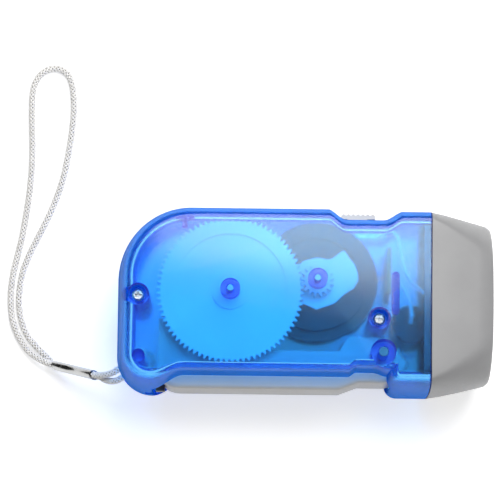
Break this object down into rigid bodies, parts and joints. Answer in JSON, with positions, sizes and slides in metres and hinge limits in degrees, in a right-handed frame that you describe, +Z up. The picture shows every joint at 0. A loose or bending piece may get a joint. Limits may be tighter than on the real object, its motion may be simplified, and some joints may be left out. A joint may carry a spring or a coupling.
{
  "type": "led flashlight",
  "caption": "Squeeze-powered LED flashlight with a see-through blue case, fold-in crank lever, gear train, flywheel generator, slide switch and braided wrist strap.",
  "frame": {"origin": "centre of the case's footprint, without the wrist strap, on the flat back face that it rests on", "axes": "+X towards the lamp end, +Y towards the slide switch, -Y towards the squeeze lever, +Z up through the case's thickness, towards the face with the screws"},
  "size_m": [0.1366, 0.0963, 0.041],
  "materials": {
    "clear_blue_plastic": "see-through blue, glossy",
    "grey_plastic": "satin mid grey",
    "white_plastic": "off-white moulded",
    "black_plastic": "black moulded",
    "clear_plastic": "clear moulded",
    "mirror_plastic": "bright metallised",
    "steel": "plated steel",
    "magnet": "dark sintered ferrite",
    "copper": "enamelled copper wire",
    "board": "green circuit board",
    "battery_sleeve": "dark blue shrink sleeve",
    "lead": "pale insulated lead",
    "braid": "round braided cord, silver grey"
  },
  "bodies": {
    "case": {"front_shell": "clear_blue_plastic", "back_shell": "clear_blue_plastic", "head_bezel": "grey_plastic", "lens": "clear_plastic", "reflector": "mirror_plastic", "led_board": "board", "led_1": "clear_plastic", "led_2": "clear_plastic", "led_3": "clear_plastic", "main_board": "board", "slide_switch": "steel", "battery_pack": "battery_sleeve", "lever_spring": "steel", "lever_pin": "steel", "main_gear_axle": "steel", "flywheel_axle": "steel", "stator_core": "steel", "coil_bobbin": "black_plastic", "stator_coil": "copper", "case_screw_left": "steel", "case_screw_right": "steel", "lamp_lead": "lead", "battery_lead": "lead", "coil_lead": "lead", "strap_cord": "braid", "strap_bight": "braid", "strap_ferrule": "steel"},
    "lever": {"drive_lever": "grey_plastic"},
    "latch": {"lever_latch": "black_plastic"},
    "big_gear": {"main_gear": "white_plastic"},
    "clutch": {"clutch_pinion": "white_plastic"},
    "wheel": {"flywheel": "black_plastic", "ring_magnet": "magnet"},
    "knob": {"switch_knob": "white_plastic"}
  },
  "joints": [
    {"name": "lever_hinge", "type": "hinge", "parent": "case", "child": "lever", "pos_m": [0.02171, -0.01512, 0.0205], "axis": [0, 0, 1], "range_deg": [0, 26]},
    {"name": "latch_slide", "type": "slide", "parent": "lever", "child": "latch", "axis": [1, 0, 0], "range_m": [-0.002, 0]},
    {"name": "main_gear_spin", "type": "hinge", "parent": "case", "child": "big_gear", "pos_m": [-0.02055, 0.002, 0.0326], "axis": [0, 0, 1], "range_deg": [-272, 1]},
    {"name": "clutch_pinion_spin", "type": "hinge", "parent": "case", "child": "clutch", "pos_m": [0.0035, 0.00508, 0.032], "axis": [0, 0, 1], "range_deg": [-1, 1274]},
    {"name": "flywheel_spin", "type": "hinge", "parent": "case", "child": "wheel", "pos_m": [0.0035, 0.00508, 0.025], "axis": [0, 0, 1], "continuous": true},
    {"name": "switch_slide", "type": "slide", "parent": "case", "child": "knob", "axis": [1, 0, 0], "range_m": [0, 0.003]}
  ],
  "couplings": [
    {"joint": "main_gear_spin", "follows": "lever_hinge", "ratio": -10.4},
    {"joint": "clutch_pinion_spin", "follows": "lever_hinge", "ratio": 48.941}
  ]
}
